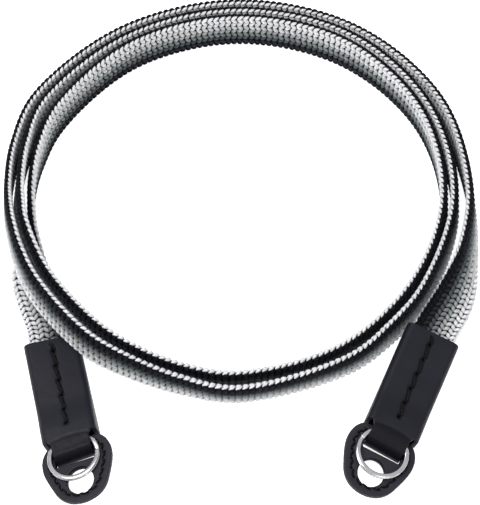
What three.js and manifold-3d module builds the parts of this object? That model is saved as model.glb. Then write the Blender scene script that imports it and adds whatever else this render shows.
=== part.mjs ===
// A knitted camera strap, wound up in two and a half turns and laid down on its edge.
// Each end is tucked into a folded leather sleeve, whose tongue holds a split ring and a leather guard pad.
// Millimetres, +Z up. The coil's axis is vertical, and the two ends point towards -Y.
import * as THREE from 'three';
import { mergeVertices } from 'three/addons/utils/BufferGeometryUtils.js';
import Module from 'manifold-3d';

// Knitted band
const BAND_WIDTH = 12;
const BAND_THICKNESS = 2.3;
const BAND_STEP = 4.6; // length of one facet along the band
const BAND_EDGE_FACETS = 4; // facets round each rounded edge

// Coil
const COIL_RADIUS = 58;
const TURN_GAP = 0.3; // between turns that lie against each other

// Leather
const LEATHER = 1.2;
const FIT = 0.3; // clearance between pieces that touch on the real strap
const SLEEVE_LENGTH = 30.6;
const SLEEVE_TUCK = 7; // how far the band's end stays back from the sleeve's ring end
const SLEEVE_SWELL = 5; // length over which the sleeve opens up for the ring
const TONGUE_WIDTH = 10;
const TONGUE_REACH = 5;
const PAD_THICKNESS = 1.6;
const PAD_LENGTH = 18.9;
const PAD_HALF_WIDTH = 9.5;
const PAD_SHIFT = 0.4; // the pad hangs a little towards the coil's middle
const PAD_BEND = 2;
const SLIT_WIDTH = 3.2;
const HOLE_LENGTH = 7.8;
const HOLE_WIDTH = 7.1;
const HOLE_FACETS = 24;
const HOLE_END_MARGIN = 2.5; // leather left between the hole and the pad's round end

// Split ring
const RING_RADIUS = 7.1;
const RING_BAND = 1.2;
const RING_HEIGHT = 1.4;

// Where the two sleeves lie. Place and heading are seen from above, roll lifts the side nearest the coil.
// rise: how far the sleeve's mouth is lifted, as a share of the band's width.
// pitch: how far the pad and ring are bent up from the sleeve, in degrees, over the length PAD_BEND.
// reach: the ring's centre, from the sleeve's ring end, as a share of the ring's radius.
const ENDS = {
  left: {
    x: -0.749, y: -1.251, heading: -77.8, mouthRoll: 1, endRoll: 14.6, rise: 0, pitch: 6.5, reach: 0.82, travel: -1,
  },
  right: {
    x: 0.688, y: -1.216, heading: -113, mouthRoll: 12.9, endRoll: 14.5, rise: 0.15, pitch: 0, reach: 0.96, travel: 1,
  },
};

// The wound part of the route. Turn is in degrees, clockwise from the coil's left side.
// inner: radius of the innermost turn as a share of the coil's radius.
// layers: how many band thicknesses lie between this turn and the innermost one.
// lift: height above the ground as a share of the band's width. lean: the top edge's tilt outwards, in degrees.
const WINDING = [
  { turn: -36, inner: 1.086, layers: 0, lift: 0.08, lean: -82 },
  { turn: -28, inner: 1.055, layers: 0, lift: 0.02, lean: -74 },
  { turn: -20, inner: 1.04, layers: 0, lift: 0, lean: -55 },
  { turn: -13, inner: 1.003, layers: 0, lift: 0, lean: -21 },
  { turn: -6, inner: 0.981, layers: 0, lift: 0, lean: -6 },
  { turn: 4, inner: 0.983, layers: 0, lift: 0, lean: -3 },
  { turn: 15, inner: 0.986, layers: 0, lift: 0, lean: 2 },
  { turn: 30, inner: 0.993, layers: 0, lift: 0, lean: 7 },
  { turn: 60, inner: 1.002, layers: 0, lift: 0, lean: 8 },
  { turn: 90, inner: 1.012, layers: 0, lift: 0, lean: 8 },
  { turn: 120, inner: 1.016, layers: 0, lift: 0, lean: 8 },
  { turn: 150, inner: 1.002, layers: 0, lift: 0, lean: 2 },
  { turn: 180, inner: 0.976, layers: 0, lift: 0, lean: -4 },
  { turn: 210, inner: 0.948, layers: 0, lift: 0, lean: -4 },
  { turn: 240, inner: 0.94, layers: 0, lift: 0, lean: 8 },
  { turn: 270, inner: 0.953, layers: 0, lift: 0, lean: 13 },
  { turn: 285, inner: 0.957, layers: 0, lift: 0.05, lean: 8 },
  { turn: 298, inner: 0.981, layers: 0, lift: 0.27, lean: 1 },
  { turn: 310, inner: 1.003, layers: 0, lift: 0.48, lean: -4 },
  { turn: 330, inner: 1.014, layers: 0, lift: 0.55, lean: -7 },
  { turn: 340, inner: 1.019, layers: 0, lift: 0.67, lean: -5 },
  { turn: 347, inner: 0.993, layers: 0.73, lift: 0.75, lean: -5 },
  { turn: 353, inner: 0.984, layers: 1, lift: 0.62, lean: -8 },
  { turn: 362, inner: 0.983, layers: 1.12, lift: 0.38, lean: -7 },
  { turn: 375, inner: 0.986, layers: 1.31, lift: 0.15, lean: -1 },
  { turn: 390, inner: 0.993, layers: 1.58, lift: 0.02, lean: 6 },
  { turn: 420, inner: 1.002, layers: 1.08, lift: 0, lean: 8 },
  { turn: 450, inner: 1.012, layers: 1, lift: 0, lean: 8 },
  { turn: 480, inner: 1.016, layers: 1.04, lift: 0, lean: 8 },
  { turn: 510, inner: 1.002, layers: 1.04, lift: 0, lean: 2 },
  { turn: 540, inner: 0.976, layers: 1.15, lift: 0, lean: -4 },
  { turn: 570, inner: 0.948, layers: 1.23, lift: 0, lean: -4 },
  { turn: 585, inner: 0.938, layers: 1.35, lift: 0, lean: 1 },
  { turn: 600, inner: 0.94, layers: 1.58, lift: 0, lean: 7 },
  { turn: 630, inner: 0.953, layers: 1.73, lift: 0, lean: 13 },
  { turn: 645, inner: 0.957, layers: 1.42, lift: 0.05, lean: 8 },
  { turn: 658, inner: 0.981, layers: 1.35, lift: 0.27, lean: 1 },
  { turn: 670, inner: 1.003, layers: 1.54, lift: 0.48, lean: -4 },
  { turn: 690, inner: 1.014, layers: 1.5, lift: 0.57, lean: -7 },
  { turn: 700, inner: 1.019, layers: 1.46, lift: 0.7, lean: -6 },
  { turn: 707, inner: 0.993, layers: 1.98, lift: 0.72, lean: -5 },
  { turn: 713, inner: 0.984, layers: 2.19, lift: 0.54, lean: -5 },
  { turn: 722, inner: 0.983, layers: 2.33, lift: 0.25, lean: -3 },
  { turn: 735, inner: 0.986, layers: 2.6, lift: 0.04, lean: 2 },
  { turn: 750, inner: 0.993, layers: 2.75, lift: 0.01, lean: 6 },
  { turn: 780, inner: 1.002, layers: 2.12, lift: 0, lean: 8 },
  { turn: 810, inner: 1.012, layers: 2, lift: 0, lean: 8 },
  { turn: 840, inner: 1.016, layers: 2.08, lift: 0, lean: 8 },
  { turn: 870, inner: 1.002, layers: 2.38, lift: 0, lean: 5 },
  { turn: 897, inner: 0.976, layers: 2.81, lift: 0, lean: -5 },
  { turn: 915, inner: 0.959, layers: 3.5, lift: 0, lean: -24 },
  { turn: 926, inner: 0.95, layers: 3.96, lift: 0.03, lean: -55 },
];

// Guard pad outline from the sleeve to its round end, as shares of the pad's length and half width.
const PAD_OUTLINE = [
  { along: 0, across: 0.66 },
  { along: 0.02, across: 0.76 },
  { along: 0.1, across: 0.9 },
  { along: 0.22, across: 0.99 },
  { along: 0.36, across: 1 },
  { along: 0.5, across: 0.94 },
  { along: 0.66, across: 0.83 },
  { along: 0.8, across: 0.71 },
  { along: 0.9, across: 0.55 },
  { along: 0.97, across: 0.32 },
  { along: 1, across: 0 },
];

const wasm = await Module();
wasm.setup();

const radians = THREE.MathUtils.degToRad;
const up = new THREE.Vector3(0, 0, 1);
const turnPitch = BAND_THICKNESS + TURN_GAP;
const sleeveHalfDepth = BAND_THICKNESS / 2 + FIT + LEATHER;
const sleeveHalfWidth = BAND_WIDTH / 2 + FIT + LEATHER;
const layerMiddle = sleeveHalfDepth - LEATHER / 2; // mid-plane of the sleeve's lower leather
const padUnderside = -sleeveHalfDepth + LEATHER + FIT;
const padTop = padUnderside + PAD_THICKNESS;
const ringMiddle = padTop + FIT + RING_HEIGHT / 2;
const swell = ringMiddle + RING_HEIGHT / 2 + FIT + LEATHER - sleeveHalfDepth; // rise of the sleeve's top over the ring
const tongueTop = sleeveHalfDepth + swell - LEATHER / 2;

// Height of a flat section's middle when its lower edge is on the ground.
function restingHeight(halfWidth, halfDepth, lean) {
  return halfWidth * Math.abs(Math.cos(radians(lean))) + halfDepth * Math.abs(Math.sin(radians(lean)));
}

// Directions of a section: travel along the band, top edge and outer face.
function sectionFrame(travel, lean) {
  const outward = new THREE.Vector3().crossVectors(up, travel).normalize();
  const angle = radians(lean);
  const edge = outward.clone().multiplyScalar(Math.sin(angle)).addScaledVector(up, Math.cos(angle));
  const face = outward.clone().multiplyScalar(Math.cos(angle)).addScaledVector(up, -Math.sin(angle));
  return { travel, edge, face };
}

// Sleeve axis: along is measured from the sleeve's ring end, positive towards the ring.
function endStation(end, along) {
  const heading = radians(end.heading);
  const direction = new THREE.Vector3(Math.cos(heading), Math.sin(heading), 0);
  const share = THREE.MathUtils.clamp(-along / SLEEVE_LENGTH, 0, 1);
  const roll = THREE.MathUtils.lerp(end.endRoll, end.mouthRoll, share);
  const lean = roll - 90;
  const height = restingHeight(sleeveHalfWidth, sleeveHalfDepth, lean) + end.rise * BAND_WIDTH * share;
  const point = new THREE.Vector3(end.x * COIL_RADIUS, end.y * COIL_RADIUS, height);
  point.addScaledVector(direction, along);
  return { point, lean, frame: sectionFrame(direction.multiplyScalar(end.travel), lean) };
}

// Stations of the band's middle line, from the left end to the right end.
function bandStations() {
  const tucked = [-SLEEVE_TUCK, -(SLEEVE_TUCK + SLEEVE_LENGTH) / 2, -SLEEVE_LENGTH];
  const stations = tucked.map((along) => endStation(ENDS.left, along));
  for (const row of WINDING) {
    const radius = row.inner * COIL_RADIUS + row.layers * turnPitch;
    const angle = Math.PI - radians(row.turn);
    const height = restingHeight(BAND_WIDTH / 2, BAND_THICKNESS / 2, row.lean) + row.lift * BAND_WIDTH;
    const point = new THREE.Vector3(radius * Math.cos(angle), radius * Math.sin(angle), height);
    stations.push({ point, lean: row.lean });
  }
  return stations.concat(tucked.reverse().map((along) => endStation(ENDS.right, along)));
}

// A closed mesh with merged corners as a manifold solid, and back.
function toSolid(geometry) {
  const bare = geometry.clone();
  bare.deleteAttribute('normal');
  bare.deleteAttribute('uv');
  const merged = mergeVertices(bare, 1e-4);
  const mesh = new wasm.Mesh({
    numProp: 3,
    vertProperties: new Float32Array(merged.attributes.position.array),
    triVerts: new Uint32Array(merged.index.array),
  });
  return new wasm.Manifold(mesh);
}

function toGeometry(solid) {
  const mesh = solid.getMesh();
  const geometry = new THREE.BufferGeometry();
  geometry.setAttribute('position', new THREE.BufferAttribute(mesh.vertProperties, 3));
  geometry.setIndex(new THREE.BufferAttribute(mesh.triVerts, 1));
  geometry.computeVertexNormals();
  return geometry;
}

// Moves every corner of a geometry through a function of its three coordinates.
function reshape(geometry, mapping) {
  const position = geometry.attributes.position;
  const corner = new THREE.Vector3();
  for (let i = 0; i < position.count; i += 1) {
    corner.fromBufferAttribute(position, i);
    const moved = mapping(corner);
    position.setXYZ(i, moved.x, moved.y, moved.z);
  }
  geometry.computeVertexNormals();
  return geometry;
}

// A rounded rectangle whose corners are arcs of straight facets.
function roundedOutline(halfWidth, halfDepth, radius, facets) {
  const shape = new THREE.Shape();
  const corners = [[1, 1, 0], [-1, 1, 90], [-1, -1, 180], [1, -1, 270]];
  corners.forEach(([sideX, sideY, start], corner) => {
    for (let i = 0; i <= facets; i += 1) {
      const angle = radians(start + (90 * i) / facets);
      const x = sideX * (halfWidth - radius) + radius * Math.cos(angle);
      const y = sideY * (halfDepth - radius) + radius * Math.sin(angle);
      if (corner === 0 && i === 0) shape.moveTo(x, y);
      else shape.lineTo(x, y);
    }
  });
  shape.closePath();
  return shape;
}

// Knitted band: one flat section carried along the route, each step turned to its own lean.
function bandGeometry() {
  const stations = bandStations();
  const route = new THREE.CatmullRomCurve3(stations.map((station) => station.point), false, 'centripetal');
  const length = route.getLength();
  const steps = Math.round(length / BAND_STEP);
  route.arcLengthDivisions = steps * 4;
  const spans = stations.length - 1;
  const shape = new THREE.Shape();
  const edge = BAND_THICKNESS / 2;
  const flat = BAND_WIDTH / 2 - edge;
  for (let i = 0; i <= BAND_EDGE_FACETS; i += 1) {
    const angle = (Math.PI * i) / BAND_EDGE_FACETS;
    const x = flat + edge * Math.sin(angle);
    if (i === 0) shape.moveTo(x, edge * Math.cos(angle));
    else shape.lineTo(x, edge * Math.cos(angle));
  }
  for (let i = 0; i <= BAND_EDGE_FACETS; i += 1) {
    const angle = (Math.PI * i) / BAND_EDGE_FACETS;
    shape.lineTo(-flat - edge * Math.sin(angle), -edge * Math.cos(angle));
  }
  shape.closePath();
  const frames = [];
  for (let i = 0; i <= steps; i += 1) {
    const t = route.getUtoTmapping(i / steps);
    const place = Math.min(t * spans, spans - 1e-9);
    const row = Math.floor(place);
    const before = stations[Math.max(row - 1, 0)].lean;
    const after = stations[Math.min(row + 2, spans)].lean;
    const lean = smooth(before, stations[row].lean, stations[row + 1].lean, after, place - row);
    const travel = route.getTangent(t);
    travel.z = 0;
    frames.push({ point: route.getPoint(t), ...sectionFrame(travel.normalize(), lean) });
  }
  const straight = new THREE.ExtrudeGeometry(shape, { depth: steps, steps, bevelEnabled: false });
  return reshape(straight, (corner) => {
    const at = frames[Math.round(corner.z)];
    return at.point.clone().addScaledVector(at.edge, corner.x).addScaledVector(at.face, -corner.y);
  });
}

// Uniform Catmull-Rom value between b and c.
function smooth(a, b, c, d, t) {
  const slopeB = (c - a) / 2;
  const slopeC = (d - b) / 2;
  const rise = c - b;
  return b + slopeB * t + (3 * rise - 2 * slopeB - slopeC) * t * t + (slopeB + slopeC - 2 * rise) * t * t * t;
}

// Where a point beyond the sleeve's end comes to lie once the leather is bent up by an angle.
function bent(along, above, pitch) {
  if (pitch === 0) return { along, above };
  const radius = PAD_BEND / pitch;
  const turned = Math.min(along / radius, pitch);
  const straight = Math.max(along - PAD_BEND, 0);
  return {
    along: (radius - above) * Math.sin(turned) + straight * Math.cos(turned),
    above: radius - (radius - above) * Math.cos(turned) + straight * Math.sin(turned),
  };
}

// Puts a piece drawn as (along, across, above) onto its end of the strap.
function ontoEnd(end) {
  return (corner) => {
    const station = endStation(end, Math.min(corner.x, 0));
    const { travel, edge, face } = station.frame;
    const beyond = bent(Math.max(corner.x, 0), corner.z, radians(end.pitch));
    return station.point
      .addScaledVector(travel, beyond.along * end.travel)
      .addScaledVector(edge, -end.travel * corner.y)
      .addScaledVector(face, beyond.above);
  };
}

// Puts a stiff flat ring, drawn round its own middle, above the bent pad.
function ontoRing(end) {
  const middle = ontoEnd(end)(new THREE.Vector3(end.reach * RING_RADIUS, 0, ringMiddle));
  const { travel, edge, face } = endStation(end, 0).frame;
  const pitch = radians(end.pitch);
  const forward = travel.clone().multiplyScalar(end.travel * Math.cos(pitch)).addScaledVector(face, Math.sin(pitch));
  const normal = face.clone().multiplyScalar(Math.cos(pitch)).addScaledVector(travel, -end.travel * Math.sin(pitch));
  return (corner) => middle.clone()
    .addScaledVector(forward, corner.x)
    .addScaledVector(edge, -end.travel * corner.y)
    .addScaledVector(normal, corner.z);
}

// Leather sleeve: a flat tube that opens up towards the ring, with a tongue looped back into its mouth.
function sleeveGeometry(end) {
  const steps = 12;
  const fullyOpen = (end.reach - 1) * RING_RADIUS - LEATHER;
  const tube = (inset, from, to) => {
    const outline = roundedOutline(sleeveHalfWidth - inset, sleeveHalfDepth - inset, 1.7 - inset, 3);
    const straight = new THREE.ExtrudeGeometry(outline, { depth: steps, steps, bevelEnabled: false });
    return reshape(straight, (corner) => {
      const share = corner.z / steps;
      const along = THREE.MathUtils.lerp(from, to, share * (2 - share));
      const opened = THREE.MathUtils.smoothstep(along, fullyOpen - SLEEVE_SWELL, fullyOpen) * swell;
      return new THREE.Vector3(along, corner.x, corner.y > 0 ? corner.y + opened : corner.y);
    });
  };
  const outer = toSolid(tube(0, -SLEEVE_LENGTH, 0));
  const inner = toSolid(tube(LEATHER, -SLEEVE_LENGTH - 1, 1));
  return toGeometry(outer.subtract(inner).add(toSolid(tongueGeometry())));
}

// Tongue: one strip seen from the side, over the ring, down through the pad's slit and back under the pad.
function tongueGeometry() {
  const middle = new THREE.CatmullRomCurve3([
    new THREE.Vector3(-1, tongueTop, 0),
    new THREE.Vector3(TONGUE_REACH * 0.3, tongueTop, 0),
    new THREE.Vector3(TONGUE_REACH * 0.66, tongueTop * 0.96, 0),
    new THREE.Vector3(TONGUE_REACH * 0.93, tongueTop * 0.6, 0),
    new THREE.Vector3(TONGUE_REACH, 0, 0),
    new THREE.Vector3(TONGUE_REACH * 0.97, -layerMiddle * 0.7, 0),
    new THREE.Vector3(TONGUE_REACH * 0.84, -layerMiddle, 0),
    new THREE.Vector3(TONGUE_REACH * 0.35, -layerMiddle, 0),
    new THREE.Vector3(-1, -layerMiddle, 0),
  ], false, 'centripetal');
  const steps = 20;
  const above = [];
  const below = [];
  for (let i = 0; i <= steps; i += 1) {
    const point = middle.getPointAt(i / steps);
    const tangent = middle.getTangentAt(i / steps);
    const side = new THREE.Vector3(-tangent.y, tangent.x, 0).multiplyScalar(LEATHER / 2);
    above.push(new THREE.Vector2(point.x + side.x, point.y + side.y));
    below.push(new THREE.Vector2(point.x - side.x, point.y - side.y));
  }
  const strip = new THREE.Shape(above.concat(below.reverse()));
  const flat = new THREE.ExtrudeGeometry(strip, { depth: TONGUE_WIDTH, bevelEnabled: false });
  return reshape(flat, (corner) => new THREE.Vector3(corner.x, TONGUE_WIDTH / 2 - corner.z, corner.y));
}

// Split ring: two flat coils pressed together, drawn as one turned profile with a groove between them.
function ringGeometry() {
  const inside = RING_RADIUS - RING_BAND;
  const coil = RING_HEIGHT / 2;
  const ease = 0.22;
  const profile = [
    [inside, -coil + ease], [inside + ease, -coil], [RING_RADIUS - ease, -coil], [RING_RADIUS, -coil + ease],
    [RING_RADIUS, -ease], [RING_RADIUS - ease / 2, 0], [RING_RADIUS, ease],
    [RING_RADIUS, coil - ease], [RING_RADIUS - ease, coil], [inside + ease, coil], [inside, coil - ease],
    [inside, ease], [inside + ease / 2, 0], [inside, -ease],
  ].map(([radius, height]) => new THREE.Vector2(radius, height));
  profile.push(profile[0].clone());
  const turned = new THREE.LatheGeometry(profile, 36);
  return reshape(turned, (corner) => new THREE.Vector3(corner.x, -corner.z, corner.y));
}

// Guard pad: a flat leather shield with a slit for the tongue and an oval hole.
function padGeometry(end) {
  const shift = -end.travel * PAD_SHIFT;
  const start = FIT;
  const side = PAD_OUTLINE.map((row) => new THREE.Vector2(start + row.along * PAD_LENGTH, -row.across * PAD_HALF_WIDTH));
  const other = side.slice(0, -1).reverse().map((point) => new THREE.Vector2(point.x, -point.y));
  const smoothSide = new THREE.SplineCurve(side.concat(other)).getPoints(40);
  const outline = new THREE.Shape(smoothSide);
  const slitStart = TONGUE_REACH - LEATHER / 2 - 2 * FIT;
  const slitHalf = TONGUE_WIDTH / 2 + FIT;
  const slitEnd = slitStart + SLIT_WIDTH;
  const slit = new THREE.Path([
    new THREE.Vector2(slitStart, -slitHalf - shift),
    new THREE.Vector2(slitStart, slitHalf - shift),
    new THREE.Vector2(slitEnd, slitHalf - shift),
    new THREE.Vector2(slitEnd, -slitHalf - shift),
  ]);
  const holeMiddle = start + PAD_LENGTH - HOLE_END_MARGIN - HOLE_LENGTH / 2;
  const oval = new THREE.EllipseCurve(holeMiddle, 0, HOLE_LENGTH / 2, HOLE_WIDTH / 2, 0, Math.PI * 2, true);
  const hole = new THREE.Path(oval.getPoints(HOLE_FACETS).slice(1));
  outline.holes.push(slit, hole);
  const plate = new THREE.ExtrudeGeometry(outline, { depth: PAD_THICKNESS, bevelEnabled: false });
  return reshape(plate, (corner) => new THREE.Vector3(corner.x, corner.y + shift, corner.z + padUnderside));
}

const knitBlack = new THREE.MeshStandardMaterial({ color: 0x8f9294, roughness: 0.92, metalness: 0 });
const leatherBlack = new THREE.MeshStandardMaterial({ color: 0x24242a, roughness: 0.55, metalness: 0 });
const padBlack = new THREE.MeshStandardMaterial({ color: 0x1f1f24, roughness: 0.6, metalness: 0 });
const polishedSteel = new THREE.MeshStandardMaterial({ color: 0xc9c9cc, roughness: 0.16, metalness: 1 });

const strap = new THREE.Group();

function addPiece(name, geometry, material) {
  const piece = new THREE.Mesh(geometry, material);
  piece.name = name;
  strap.add(piece);
}

addPiece('strap_band', bandGeometry(), knitBlack);
for (const [side, end] of Object.entries(ENDS)) {
  const place = ontoEnd(end);
  addPiece(`${side}_leather_sleeve`, reshape(sleeveGeometry(end), place), leatherBlack);
  addPiece(`${side}_split_ring`, reshape(ringGeometry(), ontoRing(end)), polishedSteel);
  addPiece(`${side}_guard_pad`, reshape(padGeometry(end), place), padBlack);
}

// The origin is the middle of the strap's footprint, on the ground.
const bounds = new THREE.Box3().setFromObject(strap);
const middle = bounds.getCenter(new THREE.Vector3());
strap.position.set(-middle.x, -middle.y, -bounds.min.z);

export default strap;
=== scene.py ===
import math

import bpy
import numpy as np
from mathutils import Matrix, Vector


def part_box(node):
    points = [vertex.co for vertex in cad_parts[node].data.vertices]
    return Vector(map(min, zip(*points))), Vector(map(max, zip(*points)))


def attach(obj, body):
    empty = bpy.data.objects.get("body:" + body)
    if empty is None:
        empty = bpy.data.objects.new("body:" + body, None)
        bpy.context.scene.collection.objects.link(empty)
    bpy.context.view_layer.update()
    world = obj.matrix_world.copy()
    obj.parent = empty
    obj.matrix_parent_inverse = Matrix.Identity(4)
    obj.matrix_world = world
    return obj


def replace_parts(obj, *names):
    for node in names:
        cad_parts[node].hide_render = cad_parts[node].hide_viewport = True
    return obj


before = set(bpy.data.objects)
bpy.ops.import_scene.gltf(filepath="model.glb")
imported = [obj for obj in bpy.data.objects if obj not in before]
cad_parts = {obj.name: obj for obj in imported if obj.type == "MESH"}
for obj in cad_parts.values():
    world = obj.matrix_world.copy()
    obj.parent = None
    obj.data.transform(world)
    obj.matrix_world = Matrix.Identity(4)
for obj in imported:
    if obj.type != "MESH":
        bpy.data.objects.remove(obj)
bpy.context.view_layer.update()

MM = 0.001

# The viewpoint. The strap is seen from above its two leather ends, through a long lens, so that the
# coil's far side shows its inner face and its near side shows its outer face.
CAMERA_ELEVATION = 57.5
CAMERA_DISTANCE = 0.78
CAMERA_LENS = 214.1
CAMERA_TARGET_HEIGHT = 11.5
COIL_CENTRE = Vector((-0.826, 12.89, 0)) * MM
target = COIL_CENTRE + Vector((0, 0, CAMERA_TARGET_HEIGHT)) * MM
camera_data = bpy.data.cameras.new("camera")
camera_data.sensor_fit = "HORIZONTAL"
camera_data.sensor_width = 36
camera_data.lens = CAMERA_LENS
camera_data.shift_x = 0.0042
camera_data.shift_y = -0.126
camera_data.clip_end = 10
camera = bpy.data.objects.new("camera", camera_data)
elevation = math.radians(CAMERA_ELEVATION)
camera.location = target + Vector((0, -math.cos(elevation), math.sin(elevation))) * CAMERA_DISTANCE
camera.rotation_euler = (math.radians(90) - elevation, 0, 0)
bpy.context.scene.collection.objects.link(camera)
bpy.context.scene.camera = camera
bpy.context.scene.view_settings.view_transform = "Standard"


# The knitted band: a soft tube of twenty columns of yarn, pressed flat and dyed from white at one corner of
# each face to black at the other. It leaves the left sleeve under the outer turns, stands on its edge for two
# and a half turns, and is sewn flat into a sleeve at both ends. Its lay comes first, then its stitches.
BAND_WIDTH = 12.0
BAND_THICKNESS = 2.3
COIL_RADIUS = 58.0
TURN_PITCH = 2.6
LEATHER = 1.2
FIT = 0.3
SLEEVE_LENGTH = 30.6
SLEEVE_TUCK = 7.0
PAD_BEND = 2.0
SLEEVE_HALF_WIDTH = BAND_WIDTH / 2 + FIT + LEATHER
SLEEVE_HALF_DEPTH = BAND_THICKNESS / 2 + FIT + LEATHER
# where each sleeve ends, as shares of COIL_RADIUS, which way it points, and how it is turned and bent
ENDS = {
    "left": {"x": -0.749, "y": -1.251, "heading": -77.8, "mouth_roll": 1, "end_roll": 14.6, "rise": 0,
             "pitch": 6.5, "reach": 0.82, "travel": -1},
    "right": {"x": 0.688, "y": -1.216, "heading": -113, "mouth_roll": 12.9, "end_roll": 14.5, "rise": 0.15,
              "pitch": 0, "reach": 0.96, "travel": 1},
}
# each row of the winding: turn in degrees clockwise from the coil's left side, radius of the innermost turn
# as a share of COIL_RADIUS, layers of TURN_PITCH outside it, lift as a share of the width, lean in degrees
WINDING = [
    (-36, 1.086, 0, 0.08, -82), (-28, 1.055, 0, 0.02, -74), (-20, 1.04, 0, 0, -55), (-13, 1.003, 0, 0, -21),
    (-6, 0.981, 0, 0, -6), (4, 0.983, 0, 0, -3), (15, 0.986, 0, 0, 2), (30, 0.993, 0, 0, 7),
    (60, 1.002, 0, 0, 8), (90, 1.012, 0, 0, 8), (120, 1.016, 0, 0, 8), (150, 1.002, 0, 0, 2),
    (180, 0.976, 0, 0, -4), (210, 0.948, 0, 0, -4), (240, 0.94, 0, 0, 8), (270, 0.953, 0, 0, 13),
    (285, 0.957, 0, 0.05, 8), (298, 0.981, 0, 0.27, 1), (310, 1.003, 0, 0.48, -4), (330, 1.014, 0, 0.55, -7),
    (340, 1.019, 0, 0.67, -5), (347, 0.993, 0.73, 0.75, -5), (353, 0.984, 1, 0.62, -8),
    (362, 0.983, 1.12, 0.38, -7), (375, 0.986, 1.31, 0.15, -1), (390, 0.993, 1.58, 0.02, 6),
    (420, 1.002, 1.08, 0, 8), (450, 1.012, 1, 0, 8), (480, 1.016, 1.04, 0, 8), (510, 1.002, 1.04, 0, 2),
    (540, 0.976, 1.15, 0, -4), (570, 0.948, 1.23, 0, -4), (585, 0.938, 1.35, 0, 1), (600, 0.94, 1.58, 0, 7),
    (630, 0.953, 1.73, 0, 13), (645, 0.957, 1.42, 0.05, 8), (658, 0.981, 1.35, 0.27, 1),
    (670, 1.003, 1.54, 0.48, -4), (690, 1.014, 1.5, 0.57, -7), (700, 1.019, 1.46, 0.7, -6),
    (707, 0.993, 1.98, 0.72, -5), (713, 0.984, 2.19, 0.54, -5), (722, 0.983, 2.33, 0.25, -3),
    (735, 0.986, 2.6, 0.04, 2), (750, 0.993, 2.75, 0.01, 6), (780, 1.002, 2.12, 0, 8), (810, 1.012, 2, 0, 8),
    (840, 1.016, 2.08, 0, 8), (870, 1.002, 2.38, 0, 5), (897, 0.976, 2.81, 0, -5), (915, 0.959, 3.5, 0, -24),
    (926, 0.95, 3.96, 0.03, -55),
]


def section_axes(travel, lean):
    """Edge and face directions of a section, for a level travel direction and a lean in degrees."""
    outward = np.stack([-travel[..., 1], travel[..., 0], np.zeros_like(travel[..., 0])], -1)
    angle = np.radians(lean)[..., None]
    up = np.array([0.0, 0.0, 1.0])
    edge = outward * np.sin(angle) + up * np.cos(angle)
    face = outward * np.cos(angle) - up * np.sin(angle)
    return edge, face


def resting_height(half_width, half_depth, lean):
    """Height of a flat section's middle when its lower edge is on the ground."""
    return half_width * np.abs(np.cos(np.radians(lean))) + half_depth * np.abs(np.sin(np.radians(lean)))


def end_station(end, along):
    """Middle, lean and travel direction of a sleeve, along its axis from its ring end."""
    heading = math.radians(end["heading"])
    direction = np.array([math.cos(heading), math.sin(heading), 0.0])
    share = min(max(-along / SLEEVE_LENGTH, 0), 1)
    lean = end["end_roll"] + (end["mouth_roll"] - end["end_roll"]) * share - 90
    height = resting_height(SLEEVE_HALF_WIDTH, SLEEVE_HALF_DEPTH, lean) + end["rise"] * BAND_WIDTH * share
    point = np.array([end["x"] * COIL_RADIUS, end["y"] * COIL_RADIUS, height]) + direction * along
    return point, lean, direction * end["travel"]


def band_stations():
    """Middles and leans of the band from the left end to the right end."""
    tucked = [-SLEEVE_TUCK, -(SLEEVE_TUCK + SLEEVE_LENGTH) / 2, -SLEEVE_LENGTH]
    stations = [end_station(ENDS["left"], along)[:2] for along in tucked]
    for turn, inner, layers, lift, lean in WINDING:
        radius = inner * COIL_RADIUS + layers * TURN_PITCH
        angle = math.pi - math.radians(turn)
        height = resting_height(BAND_WIDTH / 2, BAND_THICKNESS / 2, lean) + lift * BAND_WIDTH
        stations.append((np.array([radius * math.cos(angle), radius * math.sin(angle), height]), lean))
    stations += [end_station(ENDS["right"], along)[:2] for along in reversed(tucked)]
    return np.array([s[0] for s in stations]), np.array([s[1] for s in stations], float)


def centripetal(points, samples):
    """A centripetal Catmull-Rom line through the points, as positions and the station count at each."""
    padded = np.vstack([2 * points[0] - points[1], points, 2 * points[-1] - points[-2]])
    line, place = [], []
    for i in range(len(points) - 1):
        p0, p1, p2, p3 = padded[i:i + 4]
        d0, d1, d2 = (np.linalg.norm(b - a) ** 0.5 for a, b in ((p0, p1), (p1, p2), (p2, p3)))
        t1 = ((p1 - p0) / d0 - (p2 - p0) / (d0 + d1) + (p2 - p1) / d1) * d1
        t2 = ((p2 - p1) / d1 - (p3 - p1) / (d1 + d2) + (p3 - p2) / d2) * d1
        t = np.linspace(0, 1, samples, endpoint=i == len(points) - 2)[:, None]
        square = 3 * (p2 - p1) - 2 * t1 - t2
        cube = 2 * (p1 - p2) + t1 + t2
        line.append(p1 + t1 * t + square * t ** 2 + cube * t ** 3)
        place.append(i + t[:, 0])
    return np.vstack(line), np.concatenate(place)


def catmull_rom(values, place):
    """Uniform Catmull-Rom value of a list at fractional places."""
    row = np.minimum(place.astype(int), len(values) - 2)
    t = place - row
    a = values[np.maximum(row - 1, 0)]
    b, c = values[row], values[row + 1]
    d = values[np.minimum(row + 2, len(values) - 1)]
    slope_b, slope_c, rise = (c - a) / 2, (d - b) / 2, c - b
    square = 3 * rise - 2 * slope_b - slope_c
    cube = slope_b + slope_c - 2 * rise
    return b + slope_b * t + square * t ** 2 + cube * t ** 3


SAMPLES_PER_STATION = 48
station_points, station_leans = band_stations()
route, route_place = centripetal(station_points, SAMPLES_PER_STATION)
route_lean = catmull_rom(station_leans, route_place)
route_travel = np.gradient(route, axis=0)
route_travel[:, 2] = 0
route_travel /= np.linalg.norm(route_travel, axis=1)[:, None]
route_edge, route_face = section_axes(route_travel, route_lean)
route_length = np.concatenate([[0], np.cumsum(np.linalg.norm(np.diff(route, axis=0), axis=1))])
BAND_LENGTH = route_length[-1]


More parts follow.
